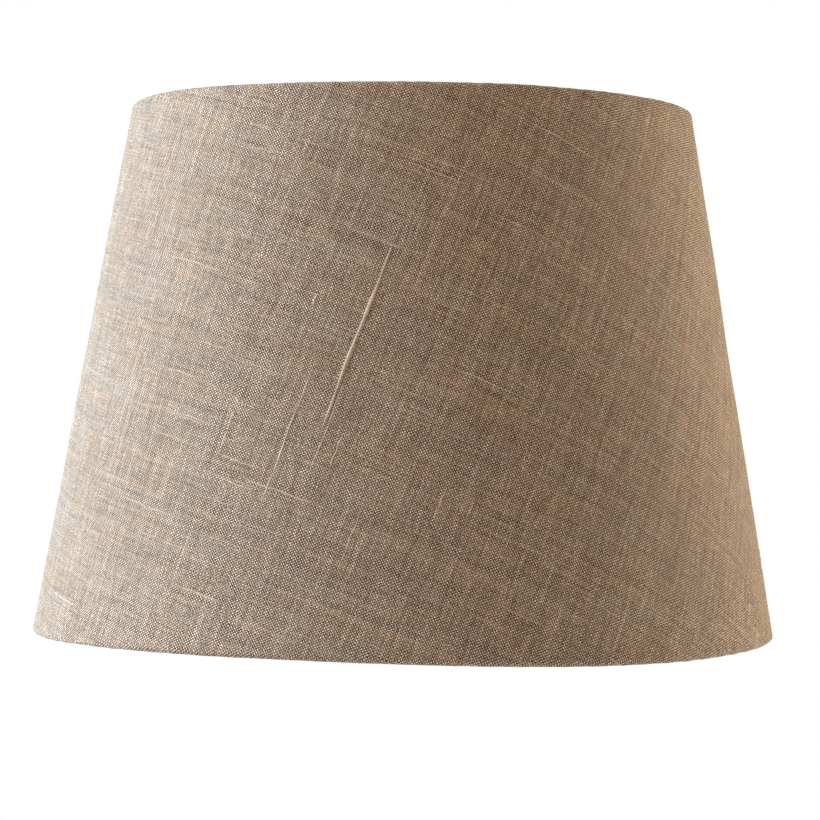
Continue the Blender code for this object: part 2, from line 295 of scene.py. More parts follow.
class Graph:
    """Short calls that add nodes to one material and feed them numbers or sockets."""

    def __init__(self, name):
        self.material = bpy.data.materials.new(name)
        self.material.use_nodes = True
        self.tree = self.material.node_tree
        self.shader = self.tree.nodes["Principled BSDF"]

    def feed(self, socket, value):
        if isinstance(value, bpy.types.NodeSocket):
            self.tree.links.new(value, socket)
        else:
            socket.default_value = value

    def node(self, kind, inputs=None, **settings):
        node = self.tree.nodes.new(kind)
        for key, value in settings.items():
            setattr(node, key, value)
        for key, value in (inputs or {}).items():
            self.feed(node.inputs[key], value)
        return node

    def math(self, operation, *values):
        node = self.node("ShaderNodeMath", operation=operation)
        for socket, value in zip(node.inputs, values, strict=False):
            self.feed(socket, value)
        return node.outputs[0]

    def ramp(self, value, low, high, to_low=0.0, to_high=1.0):
        inputs = {"Value": value, "From Min": low, "From Max": high}
        inputs |= {"To Min": to_low, "To Max": to_high}
        node = self.node("ShaderNodeMapRange", inputs, interpolation_type="SMOOTHSTEP")
        return node.outputs["Result"]

    def vector(self, x, y, z=0.0):
        return self.node("ShaderNodeCombineXYZ", {"X": x, "Y": y, "Z": z}).outputs[0]

    def noise(self, vector, scale, detail, rough=0.5):
        inputs = {"Vector": vector, "Scale": scale, "Detail": detail, "Roughness": rough}
        return self.node("ShaderNodeTexNoise", inputs).outputs["Fac"]

    def white(self, value):
        node = self.node("ShaderNodeTexWhiteNoise", {"W": value}, noise_dimensions="1D")
        return node.outputs["Value"]

    def mix(self, share, a, b, blend="MIX"):
        # Inputs 6 and 7 are the two colours of a node set to RGBA.
        node = self.node("ShaderNodeMix", data_type="RGBA", blend_type=blend)
        self.feed(node.inputs[0], share)
        self.feed(node.inputs[6], (*a, 1.0) if isinstance(a, tuple) else a)
        self.feed(node.inputs[7], (*b, 1.0) if isinstance(b, tuple) else b)
        return node.outputs[2]

    def bump(self, height, distance):
        inputs = {"Height": height, "Distance": distance, "Strength": 1.0}
        return self.node("ShaderNodeBump", inputs).outputs[0]

    def finish(self, color, normal, roughness, **constants):
        """Feeds the shader and returns the material. A normal of None leaves it smooth."""
        self.feed(self.shader.inputs["Base Color"], color)
        if normal is not None:
            self.feed(self.shader.inputs["Normal"], normal)
        self.feed(self.shader.inputs["Roughness"], roughness)
        for key, value in constants.items():
            self.shader.inputs[key.replace("_", " ")].default_value = value
        return self.material


# Colours of the yarns, and of what is spun into them.
WARP_PALE = (0.95, 0.86, 0.765)
WARP_DARK = (0.60, 0.52, 0.435)
WEFT_PALE = (0.42, 0.32, 0.225)
WEFT_DARK = (0.10, 0.052, 0.025)
RUST = (1.04, 0.98, 0.925)
SLATE = (0.98, 1.002, 1.02)
SPECK = (0.46, 0.20, 0.09)

# How far each yarn stands up where it crosses over, and where it rises for a stretch.
WARP_CROWN, WEFT_CROWN = 0.50, 0.40
WARP_RISE, WEFT_RISE = 0.16, 0.34
WANDER = 1.5  # in yarns
WEAVE_RELIEF = 0.00055


def thread(graph, index, along, offset, run, patchy, rise_run, rise_tone):
    """One yarn's own lightness, thickness and rise, each 0 to 1, changing slowly along it.

    run is the length of a lighter or darker stretch, and patchy how sharply they differ.
    A few yarns rise for a stretch, about rise_run long, and show as a line that is paler
    by rise_tone.
    """
    # Yarns that lie side by side take their noise from places with nothing in common.
    lane = graph.math("MULTIPLY_ADD", index, 7.13, offset)
    base = graph.white(lane)
    place = graph.vector(lane, graph.math("MULTIPLY", along, 1 / run))
    drift = graph.ramp(graph.noise(place, 1.0, 5.0, 0.65), 0.5 - patchy, 0.5 + patchy)
    tone = graph.math("MULTIPLY_ADD", base, 0.45, graph.math("MULTIPLY", drift, 0.60))
    place = graph.vector(graph.math("ADD", lane, 31.7), graph.math("MULTIPLY", along, 55.0))
    swell = graph.noise(place, 1.0, 3.0, 0.6)
    place = graph.vector(
        graph.math("ADD", lane, 77.3), graph.math("MULTIPLY", along, 1 / rise_run)
    )
    rise = graph.ramp(graph.noise(place, 1.0, 2.0, 0.5), 0.58, 0.68)
    return graph.math("MULTIPLY_ADD", rise, rise_tone, tone), swell, rise


def across_yarn(graph, fraction, swell):
    """Round section of a yarn: 1 on its crown, 0 at its edge and beyond."""
    away = graph.math("ABSOLUTE", graph.math("SUBTRACT", fraction, 0.5))
    half = graph.ramp(swell, 0.30, 0.70, 0.36, 0.56)
    share = graph.math("DIVIDE", away, half)
    square = graph.math("SUBTRACT", 1.0, graph.math("MULTIPLY", share, share))
    return graph.math("SQRT", graph.math("MAXIMUM", square, 0.0))


def bands(graph, along, across, length, width, offset):
    """Runs of lighter and darker yarns lying together, about 0 to 1."""
    place = graph.vector(
        graph.math("MULTIPLY_ADD", along, 1 / length, offset),
        graph.math("MULTIPLY", across, 1 / width),
    )
    return graph.ramp(graph.noise(place, 1.0, 4.0, 0.6), 0.28, 0.72)


def yarn_counts(graph, cut, across, along):
    """Place counted in warp yarns and in weft yarns, which wander a little."""
    wander_u = graph.math("SUBTRACT", graph.noise(cut, 90.0, 4.0), 0.5)
    moved = graph.node("ShaderNodeVectorMath", {0: cut, 1: (5.3, 1.7, 0.0)}, operation="ADD")
    wander_v = graph.math("SUBTRACT", graph.noise(moved.outputs[0], 90.0, 4.0), 0.5)
    wiggle = graph.math("MULTIPLY_ADD", graph.noise(cut, 520.0, 1.0), 0.6, -0.30)
    shift_u = graph.math("MULTIPLY_ADD", wander_u, WANDER, wiggle)
    shift_v = graph.math("MULTIPLY_ADD", wander_v, WANDER, wiggle)
    u = graph.math("MULTIPLY_ADD", across, 1 / WARP_PITCH, shift_u)
    v = graph.math("MULTIPLY_ADD", along, 1 / WEFT_PITCH, shift_v)
    return u, v


def linen_material():
    graph = Graph("linen_weave")
    cut = graph.node("ShaderNodeUVMap", uv_map="grain").outputs[0]
    parts = graph.node("ShaderNodeSeparateXYZ", {"Vector": cut}).outputs
    across, along = parts[0], parts[1]
    u, v = yarn_counts(graph, cut, across, along)
    warp_number, weft_number = graph.math("FLOOR", u), graph.math("FLOOR", v)
    in_warp, in_weft = graph.math("FRACT", u), graph.math("FRACT", v)
    warp_tone, warp_swell, warp_rise = thread(
        graph, warp_number, along, 3.1, 0.030, 0.18, rise_run=0.11, rise_tone=0.06
    )
    weft_tone, weft_swell, weft_rise = thread(
        graph, weft_number, across, 57.9, 0.036, 0.13, rise_run=0.045, rise_tone=0.30
    )

    # Plain weave: warp and weft go over each other in turn, like a chessboard.
    crossing = graph.math("ADD", warp_number, weft_number)
    odd = graph.math("MULTIPLY", graph.math("FRACT", graph.math("MULTIPLY", crossing, 0.5)), 2.0)
    side = graph.math("MULTIPLY_ADD", odd, -2.0, 1.0)
    warp_wave = graph.math("SINE", graph.math("MULTIPLY", in_weft, math.pi))
    weft_wave = graph.math("SINE", graph.math("MULTIPLY", in_warp, math.pi))
    warp_high = graph.math("MULTIPLY", side, warp_wave)
    weft_high = graph.math("MULTIPLY", graph.math("MULTIPLY", side, -1.0), weft_wave)
    warp_round = across_yarn(graph, in_warp, warp_swell)
    weft_round = across_yarn(graph, in_weft, weft_swell)
    warp_top = graph.math("MULTIPLY_ADD", warp_high, WARP_CROWN, warp_round)
    warp_top = graph.math("MULTIPLY_ADD", warp_rise, WARP_RISE, warp_top)
    weft_top = graph.math("MULTIPLY_ADD", weft_high, WEFT_CROWN, weft_round)
    weft_top = graph.math("MULTIPLY_ADD", weft_rise, WEFT_RISE, weft_top)
    warp_shows = graph.ramp(graph.math("SUBTRACT", warp_top, weft_top), -0.06, 0.06)
    height = graph.math("MAXIMUM", warp_top, weft_top)

    warp_color = graph.mix(warp_tone, WARP_DARK, WARP_PALE)
    weft_color = graph.mix(weft_tone, WEFT_DARK, WEFT_PALE)
    color = graph.mix(warp_shows, weft_color, warp_color)

    # Fibres are dyed unevenly: streaks lie mostly along the weft, and run warm or cool.
    weft_band = bands(graph, across, along, 0.045, 0.0032, 2.0)
    warp_band = bands(graph, along, across, 0.060, 0.0030, 11.0)
    # Every crossing is a little lighter or darker than the next.
    cell = graph.math("MULTIPLY", weft_number, 78.233)
    spot = graph.white(graph.math("MULTIPLY_ADD", warp_number, 12.9898, cell))
    tone = graph.math("MULTIPLY_ADD", weft_band, 0.13, graph.math("MULTIPLY", warp_band, 0.09))
    tone = graph.math("ADD", tone, graph.math("MULTIPLY_ADD", spot, 0.36, 0.68))
    # Painted shade and painted highlight: a ramp on the weave's height darkens the low gaps
    # between the yarns and brightens the high crowns and risen yarns. It multiplies the random
    # tone and goes into the base colour.
    shade = graph.math("MULTIPLY", tone, graph.ramp(height, 0.35, 1.35, 0.03, 1.45))
    grey_tone_and_painted_weave_light = graph.node("ShaderNodeCombineColor", {0: shade, 1: shade, 2: shade}).outputs[0]
    color = graph.mix(1.0, color, grey_tone_and_painted_weave_light, "MULTIPLY")
    warm = bands(graph, across, along, 0.040, 0.0100, 23.0)
    color = graph.mix(1.0, color, graph.mix(warm, SLATE, RUST), "MULTIPLY")
    stretched = graph.vector(across, graph.math("MULTIPLY", along, 0.5))
    speck = graph.ramp(graph.noise(stretched, 420.0, 1.0), 0.72, 0.80)
    color = graph.mix(graph.math("MULTIPLY", speck, 0.6), color, SPECK)

    fuzz = graph.noise(cut, 5200.0, 2.0)
    relief = graph.math("MULTIPLY_ADD", fuzz, 0.12, height)
    normal = graph.bump(relief, WEAVE_RELIEF)
    return graph.finish(
        color, normal, 0.88, Specular_IOR_Level=0.18, Sheen_Weight=0.20, Sheen_Roughness=0.4
    )


def mottled(name, cloud, dark, pale, grain, relief, rough, **constants):
    """A material with a cloudy colour and a fine relief.

    cloud and grain are (scale, detail). rough is a number, or (scale, detail, lowest, highest).
    """
    graph = Graph(name)
    place = graph.node("ShaderNodeTexCoord").outputs["Object"]
    color = graph.mix(graph.noise(place, *cloud), dark, pale)
    if isinstance(rough, tuple):
        scale, detail, lowest, highest = rough
        rough = graph.ramp(graph.noise(place, scale, detail), 0.3, 0.7, lowest, highest)
    normal = graph.bump(graph.noise(place, *grain), relief)
    return graph.finish(color, normal, rough, **constants)


def slub_material():
    return mottled(
        "linen_slub", (420.0, 3.0), (0.50, 0.42, 0.34), (0.90, 0.82, 0.73),
        (2600.0, 3.0), 0.00015, 0.85, Specular_IOR_Level=0.25, Sheen_Weight=0.10,
    )


def liner_material():
    return mottled(
        "styrene_sheet", (35.0, 3.0), (0.83, 0.81, 0.76), (0.90, 0.885, 0.85),
        (180.0, 3.0), 0.00006, (60.0, 3.0, 0.38, 0.52), Specular_IOR_Level=0.4,
    )


def powder_material():
    return mottled(
        "white_powder_coat", (90.0, 3.0), (0.76, 0.755, 0.73), (0.84, 0.835, 0.81),
        (1500.0, 2.0), 0.00005, (300.0, 2.0, 0.28, 0.42),
    )


def zinc_material():
    return mottled(
        "bright_zinc", (240.0, 4.0), (0.52, 0.53, 0.56), (0.72, 0.72, 0.73),
        (2200.0, 3.0), 0.00003, (500.0, 4.0, 0.24, 0.42), Metallic=1.0,
    )


def plastic_material():
    return mottled(
        "moulded_plastic", (70.0, 2.0), (0.78, 0.775, 0.74), (0.84, 0.835, 0.81),
        (3500.0, 2.0), 0.00002, (200.0, 2.0, 0.40, 0.50),
    )


def fibre_material():
    return mottled(
        "vulcanised_fibre", (900.0, 4.0), (0.15, 0.05, 0.03), (0.33, 0.14, 0.08),
        (2500.0, 3.0), 0.00005, 0.75,
    )


# ---------------------------------------------------------------- the cloth's line over both rings

HEM_STEPS = 30
WRAP_STEPS = 80
WALL_STEPS = 300


def bezier(points, t):
    a, b, c, d = points
    s = 1 - t
    return s**3 * a + 3 * s * s * t * b + 3 * s * t * t * c + t**3 * d


def hem_line(ring, up):
    """Middle of the cloth round one ring, from the raw edge inside to the outer wall, finely."""
    middle = WRAP - CLOTH / 2
    on_liner = RING_WIRE / 2 - LINER - GAP - CLOTH / 2
    landing = on_liner * WALL_OUT + HEM_LIFT_OFF * up
    tip = on_liner * WALL_OUT + HEM_DEPTH * up
    turns = np.linspace(WRAP_TURN, 0, WRAP_STEPS)[:, None]
    wrap = middle * (np.cos(turns) * WALL_OUT - np.sin(turns) * up)
    leave = np.cos(WRAP_TURN - math.tau / 4) * WALL_OUT - np.sin(WRAP_TURN - math.tau / 4) * up
    handle = np.linalg.norm(landing - wrap[0]) / 3
    bend = [landing, landing - handle * up, wrap[0] - handle * leave, wrap[0]]
    swing = np.array([bezier(bend, t) for t in np.linspace(0, 1, HEM_STEPS)[:-1]])
    flat = np.linspace(tip, landing, HEM_STEPS)[:-1]
    return ring + np.concatenate([flat, swing, wrap])


class ClothLine:
    """The cloth's middle line from the top raw edge to the bottom one, by distance along it."""

    def __init__(self):
        top = hem_line(TOP_RING, -WALL_UP)
        bottom = hem_line(BOTTOM_RING, WALL_UP)[::-1]
        wall = np.linspace(top[-1], bottom[0], WALL_STEPS)[1:-1]
        self.points = np.concatenate([top, wall, bottom])
        steps = np.linalg.norm(np.diff(self.points, axis=0), axis=1)
        self.at = np.concatenate([[0], np.cumsum(steps)])
        along = np.gradient(self.points, axis=0)
        along /= np.linalg.norm(along, axis=1)[:, None]
        self.normals = np.stack([-along[:, 1], along[:, 0]], 1)
        self.top_wall = self.at[len(top) - 1]
        self.bottom_wall = self.at[len(top) + len(wall)]
        self.length = self.at[-1]
        apex = (TOP_RING[0] + (WRAP - CLOTH / 2) * WALL_OUT[0]) / SIN_CONE
        self.start_radius = apex - self.top_wall

    def place(self, distance):
        """(radius, height) and normal at a distance along the line."""
        point = [np.interp(distance, self.at, self.points[:, i]) for i in (0, 1)]
        normal = [np.interp(distance, self.at, self.normals[:, i]) for i in (0, 1)]
        return point, normal

    def cut_position(self, distance, angle):
        """Where a point lies in the flat cut, as (across the warp, along the warp)."""
        radius = self.start_radius + distance
        right = radius * np.sin(angle * SIN_CONE)
        up = -radius * np.cos(angle * SIN_CONE)
        across = right * math.cos(WARP_LEAN) - up * math.sin(WARP_LEAN)
        along = right * math.sin(WARP_LEAN) + up * math.cos(WARP_LEAN)
        return across + CUT_ORIGIN, along + CUT_ORIGIN


LINE = ClothLine()


def on_cloth(distance, angle, lift):
    """Points of the shade at a distance down the cloth and an angle from the front."""
    (radius, height), (normal_r, normal_z) = LINE.place(distance)
    radius = radius + lift * normal_r
    height = height + lift * normal_z
    return swept(radius, height, angle)


def arm_angles():
    """Angle of each arm from the front, from its CAD box."""
    angles = []
    for number in (1, 2, 3):
        low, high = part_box(f"spider_arm_{number}")
        middle = (low + high) / 2
        angles.append(math.atan2(middle.x, -middle.y))
    return angles


ARM_ANGLES = arm_angles()
NOTCH_HALF = ARM_WIRE / 2 + 0.0012

# The cloth's mesh: how many columns and rows each stretch has, and where the finer rows lie.
COLUMNS = 1150
NOTCH_COLUMNS = 33
LAP_COLUMNS = 40
UNDERLAP_COLUMNS = 12
EDGE_COLUMNS = 6
HEM_ROWS = 7
RIM_ROWS = 22
WALL_ROWS = 64
RIM_REACH = 0.0075  # before the wall begins
WALL_MARGIN = 0.0010  # after the wall has begun


def cloth_angles():
    """Columns of the cloth from lap end to lap end, closer at the arms' notches and the lap."""
    columns = list(np.linspace(-HALF_TURN, HALF_TURN, COLUMNS))
    for angle in ARM_ANGLES:
        columns += list(angle + np.linspace(-2, 2, NOTCH_COLUMNS) * NOTCH_HALF / BOTTOM_RING[0])
    ramp = (LAP + LAP_RAMP) / BOTTOM_RING[0]
    columns += list(HALF_TURN - np.linspace(0, ramp, LAP_COLUMNS))
    columns += list(-HALF_TURN + np.linspace(0, ramp / 3, UNDERLAP_COLUMNS))
    columns += list(HALF_TURN - np.linspace(0, 0.5, EDGE_COLUMNS) * CLOTH / BOTTOM_RING[0])
    return np.unique(np.round(columns, 7))


def cloth_rows():
    """Rows of the cloth from raw edge to raw edge, closer round both wires."""
    rim = LINE.top_wall - RIM_REACH
    wall = LINE.top_wall + WALL_MARGIN
    hem = np.concatenate([np.linspace(0, rim, HEM_ROWS)[:-1], np.linspace(rim, wall, RIM_ROWS)])
    middle = np.linspace(wall, LINE.bottom_wall - WALL_MARGIN, WALL_ROWS)[1:-1]
    return np.concatenate([hem, middle, LINE.length - hem[::-1]])


WAVES = 14
SLOWEST_WAVE = 6  # times round the shade
STEEPEST_WAVE = 60  # radians per metre down the cloth


def bumps(angle, distance, seed, size, finest):
    """Smooth random waves over the cloth, seeded, with the given height."""
    rng = np.random.default_rng(seed)
    total = 0
    for _ in range(WAVES):
        around = rng.uniform(SLOWEST_WAVE, finest)
        down = rng.uniform(-1, 1) * STEEPEST_WAVE
        total = total + rng.normal() * np.cos(
            around * angle + down * distance + rng.uniform(0, math.tau)
        )
    return size * total / math.sqrt(WAVES)


FRAY = 0.0008  # mean loss along a raw edge
SLIT_STOP = 0.0052  # how far past the wall a slit for an arm ends
SLIT_LIP = 0.35  # width of a slit's sides, in half widths of the slit
SLIVER = 1e-5  # keeps the rows of a slit apart
RIM_WIDTH = 0.006
DEEPEST_DENT = 0.00018


def raggedness(angle, seed):
    """How far a raw edge strays, in long waves and short ones."""
    return bumps(angle, 0, seed, 0.0006, 60) + bumps(angle, 0, seed + 1, 0.0003, 400)


def frayed(rows, angle):
    """Distance of each point, with wandering raw edges and the bottom one slit at the arms."""
    hem = LINE.top_wall - RIM_REACH
    top_share = np.clip((hem - rows) / hem, 0, 1)
    distance = rows + top_share * (FRAY + raggedness(angle, SEED))
    slit = 0
    for arm in ARM_ANGLES:
        off = np.abs(angle - arm) * BOTTOM_RING[0]
        side = ((1 + SLIT_LIP) * NOTCH_HALF - off) / (SLIT_LIP * NOTCH_HALF)
        slit = np.maximum(slit, smooth(side))
    foot = LINE.length - (LINE.top_wall - SLIT_STOP)
    keep = 1 - slit
    past = np.clip(distance - foot, 0, None)
    share = past / (LINE.length - foot)
    distance = np.where(past > 0, foot + past * keep + SLIVER * share, distance)
    return distance - share * keep * (FRAY + raggedness(angle, SEED + 2))


def rim_lumps(distance, angle):
    """Lumps of the rolled rims, where the cloth is gathered in."""
    near_top = np.exp(-(((distance - LINE.top_wall) / RIM_WIDTH) ** 2))
    near_bottom = np.exp(-(((distance - LINE.bottom_wall) / RIM_WIDTH) ** 2))
    waves = bumps(angle, distance, SEED + 4, 0.00010, 90)
    waves = waves + bumps(angle, distance, SEED + 5, 0.00007, 260)
    return np.maximum((near_top + near_bottom) * waves, -DEEPEST_DENT)


def build_cloth(material):
    angle = cloth_angles()[None, :]
    distance = frayed(cloth_rows()[:, None], angle)
    lumps = rim_lumps(distance, angle)

    # The lap: the far end climbs over the near end and has its edge turned under.
    left = (float(angle.max()) - angle) * BOTTOM_RING[0]
    climb = smooth((LAP + LAP_RAMP - left) / LAP_RAMP) * (CLOTH + LAP_AIR)
    fold = smooth((LAP_FOLD - left) / FOLD_EDGE) * CLOTH * FOLD_BULK
    round_off = smooth((EDGE_ROUND - left) / EDGE_ROUND) * CLOTH / 2
    outer = on_cloth(distance, angle, CLOTH / 2 + lumps + climb + fold - round_off)
    inner = on_cloth(distance, angle, -CLOTH / 2 + lumps / 2 + climb)
    uv = np.stack(np.broadcast_arrays(*LINE.cut_position(distance, angle)), -1)
    cloth = closed_shell("linen", settle(outer), settle(inner), material, uv)
    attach(cloth, "shade")
    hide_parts("linen_cover")
    return cloth


# ---------------------------------------------------------------- slubs and loose fibres


CHOSEN_SLUBS = [
    # yarn, angle from the front in degrees, height, length, width
    ("warp", -8.2, 0.148, 0.092, 0.00170),
    ("warp", -12.4, 0.104, 0.045, 0.00070),
    ("warp", -19.1, 0.096, 0.072, 0.00085),
    ("warp", -15.6, 0.165, 0.006, 0.00100),
    ("weft", -40.1, 0.183, 0.038, 0.00085),
    ("weft", -40.0, 0.131, 0.026, 0.00080),
    ("weft", -26.4, 0.079, 0.021, 0.00080),
    ("weft", -43.0, 0.067, 0.038, 0.00080),
    ("weft", -30.6, 0.028, 0.026, 0.00085),
    ("weft", 29.7, 0.242, 0.060, 0.00080),
    ("weft", 26.2, 0.223, 0.053, 0.00075),
]


RANDOM_SLUBS = 120
SLUB_STEP = 0.0012
SLUB_SIDES = 8
SLUB_TIP = 0.00004
THICK_SLUB = 0.001
FIBRES = 90
FIBRE_STEPS = 12
FIBRE_SIDES = 6


def random_slubs():
    rng = random.Random(SEED)
    found = []
    for _ in range(RANDOM_SLUBS):
        yarn = rng.choice(("warp", "weft", "weft"))
        found.append((
            yarn,
            rng.uniform(-178, 178),
            rng.uniform(0.012, SHADE_HEIGHT - 0.012),
            0.010 + 0.035 * rng.random() ** 2,
            rng.uniform(0.00045, 0.00075),
        ))
    return found


def from_cut(across, along):
    """Distance down the cloth and angle from the front of a point in the flat cut."""
    across, along = across - CUT_ORIGIN, along - CUT_ORIGIN
    right = across * math.cos(WARP_LEAN) + along * math.sin(WARP_LEAN)
    up = along * math.cos(WARP_LEAN) - across * math.sin(WARP_LEAN)
    radius = np.hypot(right, up)
    return radius - LINE.start_radius, np.arctan2(right, -up) / SIN_CONE


def slub_mesh(yarn, degrees, height, length, width, rng):
    """A thick stretch of one yarn: a low ridge on the cloth that tapers at both ends.

    A slub that would lie almost wholly past the wall or on the seam is None.
    """
    wall_share = (TOP_RING[1] - height) / (TOP_RING[1] - BOTTOM_RING[1])
    start = LINE.top_wall + wall_share * (LINE.bottom_wall - LINE.top_wall)
    across, along = LINE.cut_position(start, math.radians(degrees))
    count = max(8, int(length / SLUB_STEP))
    t = np.linspace(-0.5, 0.5, count)
    wobble = 0.00025 * np.sin(t * rng.uniform(8, 16) + rng.uniform(0, 6))
    if yarn == "warp":
        distance, angle = from_cut(across + wobble, along + t * length)
    else:
        distance, angle = from_cut(across + t * length, along + wobble)
    inside = distance > LINE.top_wall + WALL_MARGIN
    inside &= distance < LINE.bottom_wall - WALL_MARGIN
    inside &= np.abs(angle) < math.radians(177)
    if inside.sum() < 8:
        return None
    t, distance, angle = t[inside], distance[inside], angle[inside]
    ends = np.linspace(-1, 1, len(t))
    lump = 1 + 0.25 * np.sin(ends * rng.uniform(9, 19) + rng.uniform(0, 6))
    radii = np.maximum(width / 2 * np.sqrt(np.clip(1 - ends**2, 0, 1)) * lump, SLUB_TIP)
    sink = 0.2 if width > THICK_SLUB else 0.5
    points = settle(on_cloth(distance, angle, CLOTH / 2 - sink * radii))
    return tube_points(points, radii, SLUB_SIDES)


def build_slubs(material):
    rng = random.Random(SEED + 1)
    made = [slub_mesh(*slub, rng) for slub in CHOSEN_SLUBS + random_slubs()]
    obj = joined_tubes("slub_yarns", [tube for tube in made if tube is not None], material)
    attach(obj, "shade")
    return obj


def build_fibres(material):
    """Short stray fibres that stand a little off the cloth."""
    rng = random.Random(SEED + 2)
    tubes = []
    t = np.linspace(0, 1, FIBRE_STEPS)
    radii = np.linspace(0.00009, 0.00005, FIBRE_STEPS)
    for _ in range(FIBRES):
        angle = math.radians(rng.uniform(-175, 175))
        distance = rng.uniform(LINE.top_wall + 0.01, LINE.bottom_wall - 0.01)
        heading = rng.uniform(0, math.tau)
        curl = rng.uniform(-2.2, 2.2)
        length = rng.uniform(0.004, 0.013)
        turn = heading + curl * t
        down = distance + np.cumsum(np.sin(turn)) * length / FIBRE_STEPS
        around = angle + np.cumsum(np.cos(turn)) * length / FIBRE_STEPS / BOTTOM_RING[0]
        lift = CLOTH / 2 + 0.00008 + 0.0007 * np.sin(math.pi * t) ** 2 * rng.random()
        points = settle(on_cloth(down, around, lift))
        tubes.append(tube_points(points, radii, FIBRE_SIDES))
    obj = joined_tubes("loose_fibres", tubes, material)
    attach(obj, "shade")
    return obj


# ---------------------------------------------------------------- liner, rings and spider

LINER_LAP_TURN = 0.06  # the finer columns of the liner's lap, in radians
LINER_STEP = 0.002  # over which the liner steps in
LINER_AIR = 0.00005


def build_liner(material):
    """The stiff sheet, whose one end steps in over the other along the back seam."""
    lap = HALF_TURN - LINER_LAP_TURN
    angle = np.concatenate([
        np.linspace(-HALF_TURN, lap, 420),
        np.linspace(lap, HALF_TURN, 30)[1:],
    ])[None, :]
    reach = RING_WIRE / 2 + GAP
    heights = np.linspace(0, 1, 50)[:, None]
    low = BOTTOM_RING + reach * WALL_UP
    high = TOP_RING - reach * WALL_UP
    left = (HALF_TURN - angle) * BOTTOM_RING[0]
    step = smooth((LAP - left + LINER_STEP) / LINER_STEP) * (LINER + LINER_AIR)
    grids = []
    for out in (RING_WIRE / 2, RING_WIRE / 2 - LINER):
        line = high + heights * (low - high)
        radius = line[:, :1] + (out - step) * WALL_OUT[0]
        height = line[:, 1:] + (out - step) * WALL_OUT[1]
        grids.append(swept(radius, height, angle))
    obj = closed_shell("liner_sheet", settle(grids[0]), settle(grids[1]), material)
    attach(obj, "shade")
    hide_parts("styrene_liner")
    return obj


WIRE_SIDES = 16
RING_STEPS = 360


def build_ring(name, node, center, material):
    section = [
        (center[0] + RING_WIRE / 2 * math.cos(t), center[1] + RING_WIRE / 2 * math.sin(t))
        for t in np.arange(WIRE_SIDES) * math.tau / WIRE_SIDES
    ]
    obj = lathe(name, section, material, RING_STEPS)
    moved = settle([tuple(v.co) for v in obj.data.vertices])
    obj.data.vertices.foreach_set("co", moved.astype(np.float32).ravel())
    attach(obj, "shade")
    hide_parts(node)
    return obj


ARM_STUB = 0.009
ARM_BEND_RADIUS = 0.010
ARM_STEP = 0.0012
ARM_BITE = 0.0006  # how far the wire's end sinks into the ring's weld
HOOP_BITE = 0.0004
WELD_SWELL = 0.38
RING_BEAD, HOOP_BEAD = 0.0016, 0.0018  # lengths over which the weld beads fade
ARM_CREASE = math.radians(50)


def pivot_height():
    low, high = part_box("gimbal_hoop")
    return (low.z + high.z) / 2


def rounded_bends(corners, radius, steps=8):
    """A polyline with each inner corner replaced by an arc of the given radius."""
    points = [corners[0]]
    for before, corner, after in zip(corners, corners[1:], corners[2:], strict=False):
        back = (before - corner).normalized()
        ahead = (after - corner).normalized()
        half = back.angle(ahead) / 2
        reach = radius / math.tan(half)
        start, end = corner + reach * back, corner + reach * ahead
        center = corner + radius / math.sin(half) * (back + ahead).normalized()
        sweep = math.pi - 2 * half
        for i in range(steps + 1):
            turn = sweep * i / steps
            from_start = math.sin(sweep - turn) / math.sin(sweep) * (start - center)
            from_end = math.sin(turn) / math.sin(sweep) * (end - center)
            points.append(center + from_start + from_end)
    points.append(corners[-1])
    return points


def build_arm(number, angle, material):
    """A bent wire with a weld bead where it meets the ring and the hoop."""
    pivot = pivot_height()
    ring_end = BOTTOM_RING[0] - RING_WIRE / 2
    hoop_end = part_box("gimbal_hoop")[1].x - HOOP_BITE
    corners = [
        Vector((ring_end - GAP, 0, BOTTOM_RING[1])),
        Vector((ring_end - GAP - ARM_STUB, 0, BOTTOM_RING[1])),
        Vector((hoop_end + 2 * GAP + ARM_STUB, 0, pivot)),
        Vector((hoop_end, 0, pivot)),
    ]
    path = rounded_bends(corners, ARM_BEND_RADIUS)
    dense = [Vector((ring_end + ARM_BITE, 0, BOTTOM_RING[1]))]
    for a, b in zip(path, path[1:], strict=False):
        count = max(1, int((b - a).length / ARM_STEP))
        dense += [a.lerp(b, i / count) for i in range(count)]
    dense.append(path[-1])
    points = np.array(dense)
    length = np.concatenate([[0], np.cumsum(np.linalg.norm(np.diff(points, axis=0), axis=1))])
    bead = np.exp(-((length / RING_BEAD) ** 2))
    bead = bead + np.exp(-(((length[-1] - length) / HOOP_BEAD) ** 2))
    radii = ARM_WIRE / 2 * (1 + WELD_SWELL * bead)
    turn = np.array(Matrix.Rotation(angle - math.pi / 2, 3, "Z"))
    made, faces = tube_points(points @ turn.T, radii, WIRE_SIDES)
    obj = new_object(f"arm_wire_{number}", settle(made), faces, material)
    obj.data.set_sharp_from_angle(angle=ARM_CREASE)
    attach(obj, "shade")
    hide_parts(f"spider_arm_{number}")
    return obj


def round_section(inside, outside, low, high, fillet, steps=4):
    """A ring's section with filleted corners."""
    points = []
    corners = [
        (outside - fillet, high - fillet, 0),
        (inside + fillet, high - fillet, 90),
        (inside + fillet, low + fillet, 180),
        (outside - fillet, low + fillet, 270),
    ]
    for x, z, start in corners:
        for i in range(steps + 1):
            turn = math.radians(start + 90 * i / steps)
            points.append((x + fillet * math.cos(turn), z + fillet * math.sin(turn)))
    return points


def bore(obj, radius, reach):
    """Cuts a hole along Y through both sides of a piece, at the pivots' height."""
    bpy.ops.mesh.primitive_cylinder_add(
        vertices=48, radius=radius, depth=reach, location=(0, 0, pivot_height()),
        rotation=(math.pi / 2, 0, 0),
    )
    cutter = bpy.context.object
    boolean = obj.modifiers.new("Bore", "BOOLEAN")
    boolean.operation = "DIFFERENCE"
    boolean.object = cutter
    bpy.context.view_layer.update()
    apply_modifiers(obj)
    bpy.data.objects.remove(cutter)
    tidy(obj)


